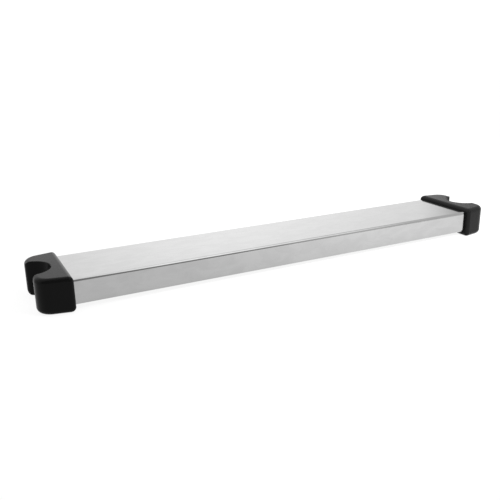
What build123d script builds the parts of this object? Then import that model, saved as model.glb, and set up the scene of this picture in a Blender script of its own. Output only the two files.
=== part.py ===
from build123d import *
import math
import os

# Magnetic nail sweeper bar: a stainless housing with ferrite magnets inside and a notched cap on each end.
# X runs along the bar, the front faces -Y, +Z is up, and z = 0 is the underside of the end caps.
# Lengths are millimetres and angles are degrees.

# Whole bar
OVERALL_LENGTH = 610.0
HOUSING_DEPTH = 88.2
HOUSING_HEIGHT = 28.5

# Housing tube, formed from stainless sheet
SHEET_THICKNESS = 1.0
BEND_RADIUS = 3.4  # outside of the four long bends

# End caps, moulded in black plastic
CAP_LENGTH = 37.0
CAP_RIM_SIDE = 6.3  # how far the cap stands proud of the steel, front and back
CAP_RIM_TOP = 4.7
CAP_RIM_BOTTOM = 6.0
CAP_SIDE_TAPER = 10.7
CAP_OUTER_CORNER_RADIUS = 16.9
CAP_INNER_CORNER_RADIUS = 4.0
CAP_EDGE_RADIUS = 5.4
CAP_WALL = 4.5  # round the cores that hollow the prongs
SOCKET_DEPTH = 10.0
SOCKET_CLEARANCE = 0.15

# Notch that each cap hangs by
NOTCH_RADIUS = 22.5
NOTCH_WEB = 4.0  # plastic between the socket and the notch
NOTCH_TIP_RADIUS = 6.4
NOTCH_EDGE_BREAK = 0.7
CORNER_SHARE = 0.68  # most of a prong's width that its outer corner may take
TIP_SHARE = 0.31  # most of it that the tip beside the notch may take

# Magnet stack
MAGNET_COUNT = 10
MAGNET_SIDE_GAP = 5.0
MAGNET_JOINT_GAP = 0.2
MAGNET_CHAMFER = 1.0
PLATE_THICKNESS = 6.35
PLATE_SIDE_GAP = 0.3
PLATE_CHAMFER = 0.5
FOAM_THICKNESS = 1.1
FOAM_SIDE_GAP = 0.6  # from the end of the roof's bend

# End blocks, which close the tube and take the cap screws
END_BLOCK_LENGTH = 22.5
END_BLOCK_CLEARANCE = 0.2

# Cap screws, countersunk and driven from below
SCREW_SHANK_RADIUS = 2.1
SCREW_HEAD_RADIUS = 4.0
SCREW_HEAD_HEIGHT = 2.3
SCREW_LENGTH = 16.0
SCREW_POINT_LENGTH = 3.0
SCREW_RECESS = 1.2  # head below the cap's underside
SCREW_SPACING = 56.0
SCREW_TO_SOCKET_FLOOR = 3.8
SCREW_CLEARANCE = 0.2
PILOT_CLEARANCE = 0.05
DRIVE_SLOT_LENGTH = 4.2
DRIVE_SLOT_WIDTH = 0.9
DRIVE_SLOT_DEPTH = 1.5

# Sizes that follow
cap_height = CAP_RIM_BOTTOM + HOUSING_HEIGHT + CAP_RIM_TOP
cap_half_depth = HOUSING_DEPTH / 2 + CAP_RIM_SIDE
cap_face = OVERALL_LENGTH / 2 - CAP_LENGTH  # x of the face that the bar enters
taper_slope = math.tan(math.radians(CAP_SIDE_TAPER))
cap_end_half_depth = cap_half_depth - CAP_LENGTH * taper_slope
notch_centre = SOCKET_DEPTH + NOTCH_WEB + NOTCH_RADIUS
notch_chord_offset = max(notch_centre - CAP_LENGTH, 0)
notch_mouth_half = math.sqrt(NOTCH_RADIUS**2 - notch_chord_offset**2)

# Each prong's end carries the outer corner and the notch's tip, so both are limited by its width.
prong_width = cap_end_half_depth - notch_mouth_half
corner_room = CORNER_SHARE * prong_width / math.tan(math.radians((90 - CAP_SIDE_TAPER) / 2))
outer_corner_radius = min(CAP_OUTER_CORNER_RADIUS, corner_room)
tip_radius = min(NOTCH_TIP_RADIUS, TIP_SHARE * prong_width)
tip_x = CAP_LENGTH - tip_radius  # centre of a prong's tip, which touches the notch and the cap's end
tip_y = math.sqrt((NOTCH_RADIUS + tip_radius) ** 2 - max(notch_centre - tip_x, 0) ** 2)

housing_middle = CAP_RIM_BOTTOM + HOUSING_HEIGHT / 2
tube_end = cap_face + SOCKET_DEPTH - SOCKET_CLEARANCE
inside_depth = HOUSING_DEPTH - 2 * SHEET_THICKNESS
inside_height = HOUSING_HEIGHT - 2 * SHEET_THICKNESS
inside_radius = BEND_RADIUS - SHEET_THICKNESS
inside_floor = CAP_RIM_BOTTOM + SHEET_THICKNESS

magnet_row_end = tube_end - END_BLOCK_LENGTH
stack_length = 2 * (magnet_row_end - MAGNET_JOINT_GAP)
magnet_pitch = (2 * magnet_row_end - MAGNET_JOINT_GAP) / MAGNET_COUNT
magnet_length = magnet_pitch - MAGNET_JOINT_GAP
magnet_depth = inside_depth - 2 * MAGNET_SIDE_GAP
magnet_height = inside_height - PLATE_THICKNESS - FOAM_THICKNESS
plate_bottom = inside_floor + magnet_height
wall_to_bend = math.sqrt(max(2 * inside_radius * PLATE_SIDE_GAP - PLATE_SIDE_GAP**2, 0))
bend_relief = inside_radius - FOAM_THICKNESS - wall_to_bend  # chamfer that keeps the plate out of the bend

screw_hole_radius = SCREW_SHANK_RADIUS + SCREW_CLEARANCE
screw_from_face = SOCKET_DEPTH - SCREW_TO_SOCKET_FLOOR
screw_places = {"front": -SCREW_SPACING / 2, "back": SCREW_SPACING / 2}


def x_prism(depth, height, radius, x_from, x_to, z_middle):
    """Bar of rounded-rectangle section that lies along X."""
    section = Plane.YZ * RectangleRounded(depth, height, radius)
    return Pos(x_from, 0, z_middle) * extrude(section, amount=x_to - x_from)


def flat_block(length, depth, height, z_bottom):
    """Rectangular block centred on X and Y."""
    return Pos(0, 0, z_bottom + height / 2) * Box(length, depth, height)


def strip(x_from, x_to, half_depth):
    """Plan rectangle centred on Y."""
    return Pos((x_from + x_to) / 2, 0) * Rectangle(x_to - x_from, 2 * half_depth)


def housing_tube():
    """Thin-walled tube with a hole in its floor for each cap screw."""
    outside = x_prism(HOUSING_DEPTH, HOUSING_HEIGHT, BEND_RADIUS, -tube_end, tube_end, housing_middle)
    inside = x_prism(inside_depth, inside_height, inside_radius, -tube_end, tube_end, housing_middle)
    tube = outside - inside
    for hole in at_screws(Cylinder(screw_hole_radius, 2 * inside_floor)):
        tube -= hole
        tube -= mirror(hole, about=Plane.YZ)
    return tube


def back_plate():
    """Mild steel plate on the magnets, which turns their field down through the housing's floor."""
    plate_depth = inside_depth - 2 * PLATE_SIDE_GAP
    plate = flat_block(stack_length, plate_depth, PLATE_THICKNESS, plate_bottom)
    return chamfer(plate.edges(), max(PLATE_CHAMFER, bend_relief))


def foam_pad():
    """Strip that presses the stack down from the housing's roof."""
    foam_depth = inside_depth - 2 * (inside_radius + FOAM_SIDE_GAP)
    return flat_block(stack_length, foam_depth, FOAM_THICKNESS, plate_bottom + PLATE_THICKNESS)


def magnet_block(place):
    """Ferrite block at its place in the row, counted from the left."""
    block = flat_block(magnet_length, magnet_depth, magnet_height, inside_floor)
    block = chamfer(block.edges(), MAGNET_CHAMFER)
    x_middle = (place - (MAGNET_COUNT - 1) / 2) * magnet_pitch
    return Pos(x_middle, 0, 0) * block


def at_screws(shape):
    """One copy of a shape on each screw axis of the right cap."""
    axis_x = cap_face + screw_from_face
    return [Pos(axis_x, y, 0) * shape for y in screw_places.values()]


def cap_screw():
    """Countersunk screw on the Z axis, its head down."""
    head_top = SCREW_RECESS + SCREW_HEAD_HEIGHT
    point_start = SCREW_RECESS + SCREW_LENGTH - SCREW_POINT_LENGTH
    profile = Polyline(
        (0, SCREW_RECESS),
        (SCREW_HEAD_RADIUS, SCREW_RECESS),
        (SCREW_SHANK_RADIUS, head_top),
        (SCREW_SHANK_RADIUS, point_start),
        (0, SCREW_RECESS + SCREW_LENGTH),
        close=True,
    )
    screw = revolve(Plane.XZ * make_face(profile), Axis.Z)
    slot = Box(DRIVE_SLOT_LENGTH, DRIVE_SLOT_WIDTH, 2 * DRIVE_SLOT_DEPTH)
    for turn in (45, 135):
        screw -= Pos(0, 0, SCREW_RECESS) * Rot(0, 0, turn) * slot
    return screw


def screw_passage():
    """Recess, countersink and clearance hole for one cap screw, on the Z axis."""
    head_radius = SCREW_HEAD_RADIUS + SCREW_CLEARANCE
    recess = Cylinder(head_radius, 2 * SCREW_RECESS)
    countersink = Cone(head_radius, screw_hole_radius, SCREW_HEAD_HEIGHT)
    hole = Cylinder(screw_hole_radius, 2 * inside_floor)
    return recess + Pos(0, 0, SCREW_RECESS + SCREW_HEAD_HEIGHT / 2) * countersink + hole


def end_block():
    """Block in the right end of the tube."""
    depth = inside_depth - 2 * END_BLOCK_CLEARANCE
    height = inside_height - 2 * END_BLOCK_CLEARANCE
    x_from = tube_end - END_BLOCK_LENGTH
    block = x_prism(depth, height, inside_radius, x_from, tube_end, housing_middle)
    pilot = Cylinder(SCREW_SHANK_RADIUS + PILOT_CLEARANCE, 2 * (SCREW_RECESS + SCREW_LENGTH))
    for hole in at_screws(pilot):
        block -= hole
    return block


def cap_plan(inset):
    """Plan of an end cap before its notch, its sides moved in by inset. x = 0 is the inner face."""
    side_shift = inset / math.cos(math.radians(CAP_SIDE_TAPER))
    end = CAP_LENGTH - inset
    inner_half = cap_half_depth - side_shift
    outer_half = inner_half - end * taper_slope
    corners = [(0, -inner_half), (end, -outer_half), (end, outer_half), (0, inner_half)]
    plan = make_face(Polyline(*corners, close=True))
    outer_corners = plan.vertices().sort_by(Axis.X)[-2:]
    return fillet(outer_corners, outer_corner_radius - inset)


def notch_plan(growth):
    """Plan of the notch, its wall moved out by growth and its mouth carried past the cap."""
    radius = NOTCH_RADIUS + growth
    round_end = Pos(notch_centre, 0) * Circle(radius)
    return round_end + strip(notch_centre, notch_centre + CAP_LENGTH, radius)


def flared_notch_plan():
    """Plan of the notch with its mouth rounded into the ends of the prongs."""
    far_end = notch_centre + CAP_LENGTH
    start = max(notch_centre, tip_x)
    corners = [(start, 0), (tip_x, -tip_y), (far_end, -tip_y), (far_end, tip_y), (tip_x, tip_y)]
    flare = make_face(Polyline(*corners, close=True))
    for side in (-1, 1):
        flare -= Pos(tip_x, side * tip_y) * Circle(tip_radius)
    return notch_plan(0) + flare


def rounded_cap_block():
    """Outer form of an end cap before it is cut."""
    plan = cap_plan(0)
    inner_corners = plan.vertices().group_by(Axis.X)[0]
    plan = fillet(inner_corners, CAP_INNER_CORNER_RADIUS)
    block = extrude(plan, amount=cap_height)
    levels = block.edges().group_by(Axis.Z)
    return fillet(levels[0] + levels[-1], CAP_EDGE_RADIUS)


def notch_cutter():
    """Notch through the full height, with a small break along its upper and lower edges."""
    plan = flared_notch_plan()
    cutter = Pos(0, 0, -NOTCH_EDGE_BREAK) * extrude(plan, amount=cap_height + 2 * NOTCH_EDGE_BREAK)
    lower_break = extrude(plan, amount=NOTCH_EDGE_BREAK, taper=-45)
    upper_break = Pos(0, 0, cap_height - NOTCH_EDGE_BREAK) * lower_break
    mirrored_break = Pos(0, 0, NOTCH_EDGE_BREAK) * mirror(lower_break, about=Plane.XY)
    return cutter + upper_break + mirrored_break


def prong_cores():
    """Hollows that run from the socket into both prongs."""
    start = SOCKET_DEPTH - SOCKET_CLEARANCE
    plan = cap_plan(CAP_WALL) & strip(start, CAP_LENGTH, cap_half_depth)
    plan -= notch_plan(CAP_WALL)
    return Pos(0, 0, CAP_RIM_BOTTOM) * extrude(plan, amount=HOUSING_HEIGHT)


def end_cap():
    """Right end cap."""
    socket_depth = HOUSING_DEPTH + 2 * SOCKET_CLEARANCE
    socket_height = HOUSING_HEIGHT + 2 * SOCKET_CLEARANCE
    socket_radius = BEND_RADIUS + SOCKET_CLEARANCE
    socket = x_prism(socket_depth, socket_height, socket_radius, -CAP_WALL, SOCKET_DEPTH, housing_middle)
    cap = rounded_cap_block() - notch_cutter()
    cap -= socket
    cap -= prong_cores()
    cap = Pos(cap_face, 0, 0) * cap
    for passage in at_screws(screw_passage()):
        cap -= passage
    return cap


def both_ends(name, right_shape):
    """The right piece and its mirror image at the left end."""
    return {f"{name}_right": right_shape, f"{name}_left": mirror(right_shape, about=Plane.YZ)}


def all_pieces():
    """Every solid by the name of its node."""
    pieces = {"housing_tube": housing_tube(), "back_plate": back_plate(), "foam_pad": foam_pad()}
    for place in range(MAGNET_COUNT):
        pieces[f"magnet_block_{place + 1:02d}"] = magnet_block(place)
    pieces.update(both_ends("end_block", end_block()))
    pieces.update(both_ends("end_cap", end_cap()))
    for side, screw in zip(screw_places, at_screws(cap_screw())):
        pieces.update(both_ends(f"cap_screw_{side}", screw))
    return pieces


os.makedirs("parts", exist_ok=True)
for node, piece in all_pieces().items():
    export_step(piece, f"parts/{node}.step")
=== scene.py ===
"""Finishes and studio for a magnet sweeper bar, laid out as an add-on and run as a script."""

import math

import bpy
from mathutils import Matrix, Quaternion, Vector

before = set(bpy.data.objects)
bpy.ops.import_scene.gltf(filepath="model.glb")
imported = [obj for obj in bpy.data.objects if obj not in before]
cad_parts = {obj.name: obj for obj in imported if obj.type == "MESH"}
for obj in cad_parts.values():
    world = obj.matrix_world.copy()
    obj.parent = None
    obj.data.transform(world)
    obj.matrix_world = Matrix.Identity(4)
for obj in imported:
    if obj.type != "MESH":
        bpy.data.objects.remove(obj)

bl_info = {
    "name": "Magnet Sweeper Bar",
    "version": (1, 0, 0),
    "blender": (4, 5, 0),
    "location": "View3D > Sidebar > Sweeper Bar",
    "description": "Gives the sweeper bar its finishes and sets up its studio",
    "category": "Object",
}

MICRON = 0.000001
WHITE = (1.0, 1.0, 1.0, 1.0)

# Sockets of a Mix node that mixes colours
MIX_FACTOR, MIX_FIRST, MIX_SECOND, MIX_RESULT = 0, 6, 7, 2

# The plastic's lightest places and the floor's darkest ones, as shares of their tone
PLASTIC_LIGHTEST = 1.35
FLOOR_DARKEST = 0.99

# Floor, in metres
FLOOR_RADIUS = 12.0
FLOOR_SIDES = 96
FLOOR_DROP = 0.0002  # below the end caps, so that no two faces share a plane

# Room. A place in it is a direction from the bar, with parts across, back and up that run from -1 to 1.
# A pair is where a change starts and where it is complete.
BACK_HALF = (-0.12, 0.2)
WINDOW_SHARPNESS = 22.0
CORNER_ACROSS = (0.645, 0.72)
CORNER_UP = (0.08, 0.2)
ROOF_EDGE_FRONT = 0.1
ROOF_EDGE_BACK = 0.34
ROOF_EDGE_BLUR = (0.0, 0.12)
MAIN_ROOF_ACROSS = (0.3, 0.7)
FRONT_ROOF_ACROSS = (0.4, 0.6)
FRONT_EDGE_ACROSS = (0.12, 0.3)
FRONT_EDGE_LEFT = -0.1
FRONT_EDGE_RIGHT = -0.6
FRONT_EDGE_BLUR = (-0.15, 0.15)
STRIP_BACK = -0.08
STRIP_HALF_WIDTH = (0.12, 0.34)
STRIP_START = (0.18, 0.34)
STRIP_STOP = (0.55, 0.68)


# Shader maths


class Socket:
    """An output socket. Arithmetic on it adds Math nodes to its tree."""

    def __init__(self, shader, output):
        self.shader = shader
        self.output = output

    def __add__(self, other):
        return self.shader.maths("ADD", self, other)

    def __radd__(self, other):
        return self.shader.maths("ADD", other, self)

    def __sub__(self, other):
        return self.shader.maths("SUBTRACT", self, other)

    def __rsub__(self, other):
        return self.shader.maths("SUBTRACT", other, self)

    def __mul__(self, other):
        return self.shader.maths("MULTIPLY", self, other)

    def __rmul__(self, other):
        return self.shader.maths("MULTIPLY", other, self)

    def __pow__(self, other):
        return self.shader.maths("POWER", self, other)

    def __rpow__(self, other):
        return self.shader.maths("POWER", other, self)

    def __abs__(self):
        return self.shader.maths("ABSOLUTE", self)


class Shader:
    """A node tree while it is being built, for a material or for the world."""

    def __init__(self, name, store="materials", surface="Principled BSDF"):
        self.owner = getattr(bpy.data, store).new(name)
        self.owner.use_nodes = True
        self.tree = self.owner.node_tree
        self.surface = self.tree.nodes[surface]

    def node(self, kind, settings=None, inputs=None, output=0):
        """A new node with its settings, then its sockets' values or links. Returns one of its outputs."""
        made = self.tree.nodes.new(kind)
        for name, value in (settings or {}).items():
            if name == "stops":
                self.set_stops(made.color_ramp, value)
            else:
                setattr(made, name, value)
        for name, value in (inputs or {}).items():
            self.feed(made.inputs[name], value)
        return Socket(self, made.outputs[output])

    def set_stops(self, ramp, stops):
        """Ramp stops as pairs of place and grey."""
        while len(ramp.elements) < len(stops):
            ramp.elements.new(1.0)
        for element, (place, level) in zip(ramp.elements, stops):
            element.position = place
            element.color = (*grey(level), 1.0)

    def feed(self, socket, value):
        """Links a socket, or gives it a value of its own."""
        if isinstance(value, Socket):
            self.tree.links.new(value.output, socket)
        else:
            socket.default_value = value

    def maths(self, operation, first, second=0.0):
        return self.node("ShaderNodeMath", {"operation": operation}, {0: first, 1: second})

    def place(self, scale=(1.0, 1.0, 1.0)):
        """Object coordinates, each axis scaled."""
        coordinates = self.node("ShaderNodeTexCoord", output="Object")
        return self.node("ShaderNodeMapping", None, {"Vector": coordinates, "Scale": scale})

    def noise(self, place, scale, detail, roughness=0.5, distortion=0.0):
        """Noise with its scale in cells for each metre."""
        inputs = {
            "Vector": place,
            "Scale": scale,
            "Detail": detail,
            "Roughness": roughness,
            "Distortion": distortion,
        }
        return self.node("ShaderNodeTexNoise", None, inputs)

    def between(self, value, low, high):
        """Carries a value of 0 to 1 over to a new range."""
        return value * (high - low) + low

    def ramp(self, value, *stops):
        return self.node("ShaderNodeValToRGB", {"stops": stops}, {"Fac": value})

    def step(self, value, low, high):
        """0 below low, 1 above high and smooth between them."""
        inputs = {"Value": value, "From Min": low, "From Max": high}
        return self.node("ShaderNodeMapRange", {"interpolation_type": "SMOOTHSTEP"}, inputs)

    def axes(self, vector):
        """The three parts of a vector."""
        split = self.node("ShaderNodeSeparateXYZ", None, {"Vector": vector}).output.node
        return [Socket(self, part) for part in split.outputs]

    def along(self, vector, direction):
        """Length of a vector along a direction, and 0 where it points away."""
        settings = {"operation": "DOT_PRODUCT"}
        dot = self.node("ShaderNodeVectorMath", settings, {0: vector, 1: direction}, output="Value")
        return self.maths("MAXIMUM", dot, 0.0)

    def tint(self, factor, first, second):
        """A colour between two colours."""
        inputs = {MIX_FACTOR: factor, MIX_FIRST: (*first, 1.0), MIX_SECOND: (*second, 1.0)}
        return self.node("ShaderNodeMix", {"data_type": "RGBA"}, inputs, output=MIX_RESULT)

    def bump(self, height, distance):
        """Normal of a surface raised by a height of 0 to 1 times a distance in metres."""
        return self.node("ShaderNodeBump", None, {"Height": height, "Distance": distance, "Strength": 1.0})

    def finish(self, **values):
        """Feeds the surface shader's sockets, named with underscores for spaces."""
        for name, value in values.items():
            self.feed(self.surface.inputs[name.replace("_", " ")], value)
        return self.owner


def grey(level):
    return (level, level, level)


def scaled(colour, share):
    return tuple(level * share for level in colour)


# Finishes


def satin_stainless(look):
    """Bright satin stainless sheet with a fine grain along the bar and a faint uneven polish."""
    shader = Shader("satin_stainless")
    grain = shader.noise(shader.place((0.02, 1.0, 1.0)), scale=9000.0, detail=2.0)
    along_bar = shader.place((0.5, 1.0, 1.0))
    patches = shader.noise(along_bar, scale=80.0, detail=3.0, roughness=0.55, distortion=0.8)
    polish = shader.ramp(patches, (0.38, 0.0), (0.62, 1.0))
    dark = scaled(look.steel_tone, 1.0 - look.steel_mottling)
    smoothest = look.steel_roughness - look.steel_roughness_spread
    roughest = look.steel_roughness + look.steel_roughness_spread
    return shader.finish(
        Base_Color=shader.tint(polish, dark, look.steel_tone),
        Metallic=1.0,
        Roughness=shader.between(grain * 0.5 + polish * 0.5, smoothest, roughest),
        Normal=shader.bump(grain, 1 * MICRON),
    )


def moulded_plastic(look):
    """Black moulded plastic with a fine spark-eroded grain."""
    shader = Shader("moulded_plastic")
    place = shader.place()
    grain = shader.noise(place, scale=1500.0, detail=3.0, roughness=0.6)
    cloud = shader.noise(place, scale=60.0, detail=2.0)
    smoothest = look.plastic_roughness - look.plastic_roughness_spread
    roughest = look.plastic_roughness + look.plastic_roughness_spread
    return shader.finish(
        Base_Color=shader.tint(cloud, look.plastic_tone, scaled(look.plastic_tone, PLASTIC_LIGHTEST)),
        Roughness=shader.between(grain, smoothest, roughest),
        Specular_IOR_Level=look.plastic_gloss,
        Normal=shader.bump(grain, 40 * MICRON),
    )


def sintered_ferrite():
    """Matt charcoal ferrite with a gritty surface."""
    shader = Shader("sintered_ferrite")
    grit = shader.noise(shader.place(), scale=900.0, detail=4.0, roughness=0.7)
    return shader.finish(
        Base_Color=shader.tint(grit, grey(0.02), grey(0.05)),
        Roughness=shader.between(grit, 0.55, 0.75),
        Normal=shader.bump(grit, 60 * MICRON),
    )


def rolled_plate():
    """Mild steel plate as rolled, with a dull uneven scale."""
    shader = Shader("rolled_plate")
    along_bar = shader.place((0.3, 1.0, 1.0))
    mill_scale = shader.noise(along_bar, scale=80.0, detail=5.0, roughness=0.6, distortion=0.4)
    return shader.finish(
        Base_Color=shader.tint(mill_scale, (0.12, 0.12, 0.13), (0.26, 0.27, 0.28)),
        Metallic=1.0,
        Roughness=shader.between(mill_scale, 0.45, 0.65),
        Normal=shader.bump(mill_scale, 30 * MICRON),
    )


def closed_cell_foam():
    """Dark foam with fine closed cells."""
    shader = Shader("closed_cell_foam")
    cells = shader.node("ShaderNodeTexVoronoi", None, {"Vector": shader.place(), "Scale": 1400.0})
    return shader.finish(
        Base_Color=shader.tint(cells, grey(0.012), grey(0.035)),
        Roughness=0.9,
        Normal=shader.bump(cells, 100 * MICRON),
    )


def natural_nylon():
    """Off-white moulded nylon."""
    shader = Shader("natural_nylon")
    cloud = shader.noise(shader.place(), scale=120.0, detail=3.0)
    return shader.finish(
        Base_Color=shader.tint(cloud, (0.50, 0.48, 0.42), (0.60, 0.58, 0.52)),
        Roughness=shader.between(cloud, 0.45, 0.6),
        Normal=shader.bump(cloud, 20 * MICRON),
    )


def zinc_plate():
    """Bright zinc plating on the screws."""
    shader = Shader("zinc_plate")
    bloom = shader.noise(shader.place(), scale=700.0, detail=3.0)
    return shader.finish(
        Base_Color=shader.tint(bloom, (0.52, 0.54, 0.56), (0.66, 0.67, 0.68)),
        Metallic=1.0,
        Roughness=shader.between(bloom, 0.25, 0.4),
        Normal=shader.bump(bloom, 5 * MICRON),
    )


def plain_floor(studio):
    """Pale matt floor that glows a little."""
    shader = Shader("studio_floor")
    cloud = shader.noise(shader.place(), scale=0.5, detail=2.0)
    return shader.finish(
        Base_Color=shader.tint(cloud, scaled(studio.floor_tone, FLOOR_DARKEST), studio.floor_tone),
        Roughness=0.9,
        Specular_IOR_Level=0.1,
        Emission_Color=WHITE,
        Emission_Strength=studio.floor_glow,
    )


def coat(nodes, material):
    """Gives the named CAD nodes one material."""
    for name in nodes:
        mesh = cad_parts[name].data
        mesh.materials.clear()
        mesh.materials.append(material)


def nodes_named(start):
    return sorted(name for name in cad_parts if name.startswith(start))


# Settings


class SweeperLook(bpy.types.PropertyGroup):
    """Colours and finishes of the bar."""

    steel_tone: bpy.props.FloatVectorProperty(
        name="Steel tone", description="Colour of the stainless housing",
        subtype="COLOR", default=grey(0.41),
    )
    steel_roughness: bpy.props.FloatProperty(
        name="Steel roughness", description="How far the housing blurs what it reflects",
        subtype="FACTOR", default=0.07,
    )
    steel_roughness_spread: bpy.props.FloatProperty(
        name="Steel roughness spread", description="How much that blur varies, up and down",
        subtype="FACTOR", default=0.02,
    )
    steel_mottling: bpy.props.FloatProperty(
        name="Steel mottling", description="How much the polish varies over the housing",
        subtype="FACTOR", default=0.06,
    )
    plastic_tone: bpy.props.FloatVectorProperty(
        name="Plastic tone", description="Colour of the end caps",
        subtype="COLOR", default=grey(0.003),
    )
    plastic_roughness: bpy.props.FloatProperty(
        name="Plastic roughness", description="Roughness of the end caps",
        subtype="FACTOR", default=0.25,
    )
    plastic_roughness_spread: bpy.props.FloatProperty(
        name="Plastic roughness spread", description="How much that roughness varies, up and down",
        subtype="FACTOR", default=0.05,
    )
    plastic_gloss: bpy.props.FloatProperty(
        name="Plastic gloss", description="Strength of the end caps' reflection",
        subtype="FACTOR", default=0.06,
    )


class SweeperStudio(bpy.types.PropertyGroup):
    """Camera, floor and lights."""

    aim: bpy.props.FloatVectorProperty(
        name="Aim", description="Point that the camera looks at",
        subtype="XYZ", unit="LENGTH", default=(-0.0433, 0.0, 0.0174),
    )
    azimuth: bpy.props.FloatProperty(
        name="Azimuth", description="Turn of the camera round the bar",
        subtype="ANGLE", default=math.radians(-26.79),
    )
    elevation: bpy.props.FloatProperty(
        name="Elevation", description="Height of the camera as an angle",
        subtype="ANGLE", default=math.radians(18.17),
    )
    roll: bpy.props.FloatProperty(
        name="Roll", description="Turn of the camera about its own axis",
        subtype="ANGLE", default=math.radians(-0.84),
    )
    distance: bpy.props.FloatProperty(
        name="Distance", description="From the camera to its aim",
        unit="LENGTH", default=0.7923,
    )
    lens: bpy.props.FloatProperty(
        name="Lens", description="Focal length on a 36 mm sensor, in millimetres", default=46.135
    )
    floor_tone: bpy.props.FloatVectorProperty(
        name="Floor tone", description="Colour of the floor",
        subtype="COLOR", default=grey(0.12),
    )
    floor_glow: bpy.props.FloatProperty(
        name="Floor glow", description="Light that the floor gives off", default=0.88
    )
    wall_strength: bpy.props.FloatProperty(
        name="Wall strength", description="Light from the walls of the room", default=1.1
    )
    window_direction: bpy.props.FloatVectorProperty(
        name="Window direction", description="Where the brightest part of the wall is",
        subtype="DIRECTION", default=(0.388, 0.871, 0.300),
    )
    window_strength: bpy.props.FloatProperty(
        name="Window strength", description="Extra light from that part of the wall", default=0.47
    )
    corner_shade: bpy.props.FloatProperty(
        name="Corner shade", description="How much darker the wall is at the back on the right",
        subtype="FACTOR", default=0.65,
    )
    roof_front: bpy.props.FloatProperty(
        name="Roof at the front", description="Light from the roof in front of the bar", default=0.35
    )
    roof_back: bpy.props.FloatProperty(
        name="Roof at the back", description="Light from the roof over and behind the bar", default=1.5
    )
    roof_right: bpy.props.FloatProperty(
        name="Roof at the right", description="Light from the far right of the roof", default=0.9
    )
    strip_strength: bpy.props.FloatProperty(
        name="Strip strength", description="Extra light from the strip across the roof", default=0.8
    )
    lamp_place: bpy.props.FloatVectorProperty(
        name="Lamp place", description="Middle of the lamp in front of the bar",
        subtype="XYZ", unit="LENGTH", default=(0.22, -0.4, 0.4),
    )
    lamp_target: bpy.props.FloatVectorProperty(
        name="Lamp target", description="Point of the floor that the lamp faces",
        subtype="XYZ", unit="LENGTH", default=(0.22, -0.1, 0.0),
    )
    lamp_size: bpy.props.FloatProperty(
        name="Lamp size", description="Side of the square lamp", unit="LENGTH", default=0.3
    )
    lamp_spread: bpy.props.FloatProperty(
        name="Lamp spread", description="Angle of the lamp's beam",
        subtype="ANGLE", default=math.radians(100.0),
    )
    lamp_power: bpy.props.FloatProperty(
        name="Lamp power", description="Power of the lamp in watts", default=5.2
    )


# Operators


class SWEEPER_OT_housing(bpy.types.Operator):
    """Finish the stainless housing"""

    bl_idname = "sweeper.housing"
    bl_label = "Housing"

    def execute(self, context):
        coat(["housing_tube"], satin_stainless(context.scene.sweeper_look))
        return {"FINISHED"}


class SWEEPER_OT_end_caps(bpy.types.Operator):
    """Finish the two end caps"""

    bl_idname = "sweeper.end_caps"
    bl_label = "End caps"

    def execute(self, context):
        coat(nodes_named("end_cap"), moulded_plastic(context.scene.sweeper_look))
        return {"FINISHED"}


class SWEEPER_OT_cap_screws(bpy.types.Operator):
    """Finish the cap screws"""

    bl_idname = "sweeper.cap_screws"
    bl_label = "Cap screws"

    def execute(self, context):
        coat(nodes_named("cap_screw"), zinc_plate())
        return {"FINISHED"}


class SWEEPER_OT_magnet_stack(bpy.types.Operator):
    """Finish the magnets, back plate, foam pad and end blocks inside the housing"""

    bl_idname = "sweeper.magnet_stack"
    bl_label = "Magnet stack"

    def execute(self, context):
        coat(nodes_named("magnet_block"), sintered_ferrite())
        coat(["back_plate"], rolled_plate())
        coat(["foam_pad"], closed_cell_foam())
        coat(nodes_named("end_block"), natural_nylon())
        return {"FINISHED"}


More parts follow.
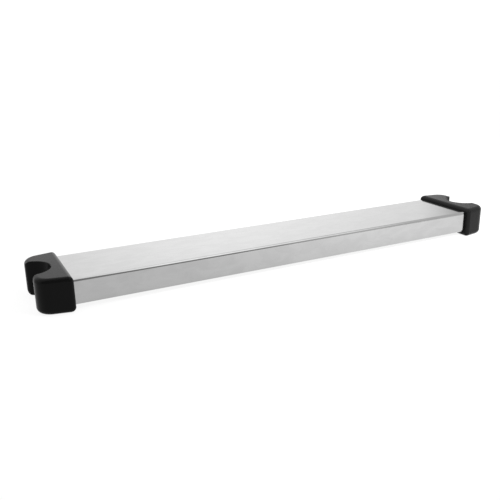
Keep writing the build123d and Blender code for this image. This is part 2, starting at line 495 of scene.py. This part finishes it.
class SWEEPER_OT_stage(bpy.types.Operator):
    """Set up the floor, room, lamp and camera"""

    bl_idname = "sweeper.stage"
    bl_label = "Stage"

    def execute(self, context):
        studio = context.scene.sweeper_studio
        self.lay_floor(studio)
        self.light_room(context, studio)
        self.hang_lamp(studio)
        self.place_camera(context, studio)
        context.scene.view_settings.view_transform = "Standard"
        return {"FINISHED"}

    def lay_floor(self, studio):
        bpy.ops.mesh.primitive_circle_add(
            vertices=FLOOR_SIDES, radius=FLOOR_RADIUS, fill_type="NGON", location=(0.0, 0.0, -FLOOR_DROP)
        )
        floor = bpy.context.object
        floor.name = "studio_floor"
        floor.data.materials.append(plain_floor(studio))

    def light_room(self, context, studio):
        """A world of white walls under a roof. Both are as bright as their place in the room says."""
        room = Shader("studio_room", "worlds", "Background")
        direction = room.node("ShaderNodeTexCoord", output="Generated")
        across, back, up = room.axes(direction)
        behind = room.step(back, *BACK_HALF)

        corner = room.step(across, *CORNER_ACROSS) * room.step(up, *CORNER_UP) * behind
        window = room.along(direction, studio.window_direction) ** WINDOW_SHARPNESS
        walls = window * studio.window_strength + studio.wall_strength
        walls = walls * (1.0 - corner * studio.corner_shade)

        roof = self.roof_light(room, studio, across, back)
        roof_edge = room.between(behind, ROOF_EDGE_FRONT, ROOF_EDGE_BACK)
        strength = walls + room.step(up - roof_edge, *ROOF_EDGE_BLUR) * (roof - walls)
        context.scene.world = room.finish(Color=WHITE, Strength=strength)

    def roof_light(self, room, studio, across, back):
        """Bright over and behind the bar, with a brighter strip overhead. Darker in front and far right."""
        main_roof = room.between(room.step(across, *MAIN_ROOF_ACROSS), studio.roof_back, studio.roof_right)
        strip = 1.0 - room.step(abs(back - STRIP_BACK), *STRIP_HALF_WIDTH)
        strip = strip * room.step(across, *STRIP_START) * (1.0 - room.step(across, *STRIP_STOP))
        main_roof = main_roof + strip * studio.strip_strength

        front_roof = room.between(room.step(across, *FRONT_ROOF_ACROSS), studio.roof_front, studio.roof_right)
        front_edge = room.between(room.step(across, *FRONT_EDGE_ACROSS), FRONT_EDGE_LEFT, FRONT_EDGE_RIGHT)
        overhead = room.step(back - front_edge, *FRONT_EDGE_BLUR)
        return front_roof + overhead * (main_roof - front_roof)

    def hang_lamp(self, studio):
        """Soft lamp on the floor in front of the bar. Nothing mirrors it."""
        place = Vector(studio.lamp_place)
        bpy.ops.object.light_add(type="AREA", location=place)
        lamp = bpy.context.object
        lamp.name = "front_softbox"
        lamp.data.shape = "SQUARE"
        lamp.data.size = studio.lamp_size
        lamp.data.spread = studio.lamp_spread
        lamp.data.energy = studio.lamp_power
        lamp.visible_glossy = False
        lamp.rotation_euler = (place - Vector(studio.lamp_target)).to_track_quat("Z", "Y").to_euler()

    def place_camera(self, context, studio):
        level = math.cos(studio.elevation)
        towards_camera = Vector((
            math.sin(studio.azimuth) * level,
            -math.cos(studio.azimuth) * level,
            math.sin(studio.elevation),
        ))
        bpy.ops.object.camera_add(location=Vector(studio.aim) + towards_camera * studio.distance)
        camera = bpy.context.object
        camera.name = "studio_camera"
        camera.data.lens = studio.lens
        camera.data.clip_start = 0.01
        turned = towards_camera.to_track_quat("Z", "Y") @ Quaternion((0.0, 0.0, 1.0), studio.roll)
        camera.rotation_euler = turned.to_euler()
        context.scene.camera = camera


OPERATORS = (
    SWEEPER_OT_stage,
    SWEEPER_OT_housing,
    SWEEPER_OT_end_caps,
    SWEEPER_OT_cap_screws,
    SWEEPER_OT_magnet_stack,
)


class SWEEPER_PT_panel(bpy.types.Panel):
    """Lists the bar's groups of pieces, its colours and its stage"""

    bl_label = "Sweeper Bar"
    bl_idname = "SWEEPER_PT_panel"
    bl_space_type = "VIEW_3D"
    bl_region_type = "UI"
    bl_category = "Sweeper Bar"

    def draw(self, context):
        for operator in OPERATORS:
            self.layout.operator(operator.bl_idname)
        for settings in (context.scene.sweeper_look, context.scene.sweeper_studio):
            box = self.layout.box()
            for name in settings.__annotations__:
                box.prop(settings, name)


CLASSES = (SweeperLook, SweeperStudio, *OPERATORS, SWEEPER_PT_panel)


def register():
    for one in CLASSES:
        bpy.utils.register_class(one)
    bpy.types.Scene.sweeper_look = bpy.props.PointerProperty(type=SweeperLook)
    bpy.types.Scene.sweeper_studio = bpy.props.PointerProperty(type=SweeperStudio)


def unregister():
    del bpy.types.Scene.sweeper_studio
    del bpy.types.Scene.sweeper_look
    for one in reversed(CLASSES):
        bpy.utils.unregister_class(one)


def main():
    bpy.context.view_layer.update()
    register()
    bpy.ops.object.select_all(action="DESELECT")
    bpy.ops.sweeper.stage()
    bpy.ops.sweeper.housing()
    bpy.ops.sweeper.end_caps()
    bpy.ops.sweeper.cap_screws()
    bpy.ops.sweeper.magnet_stack()


if __name__ == "__main__":
    main()
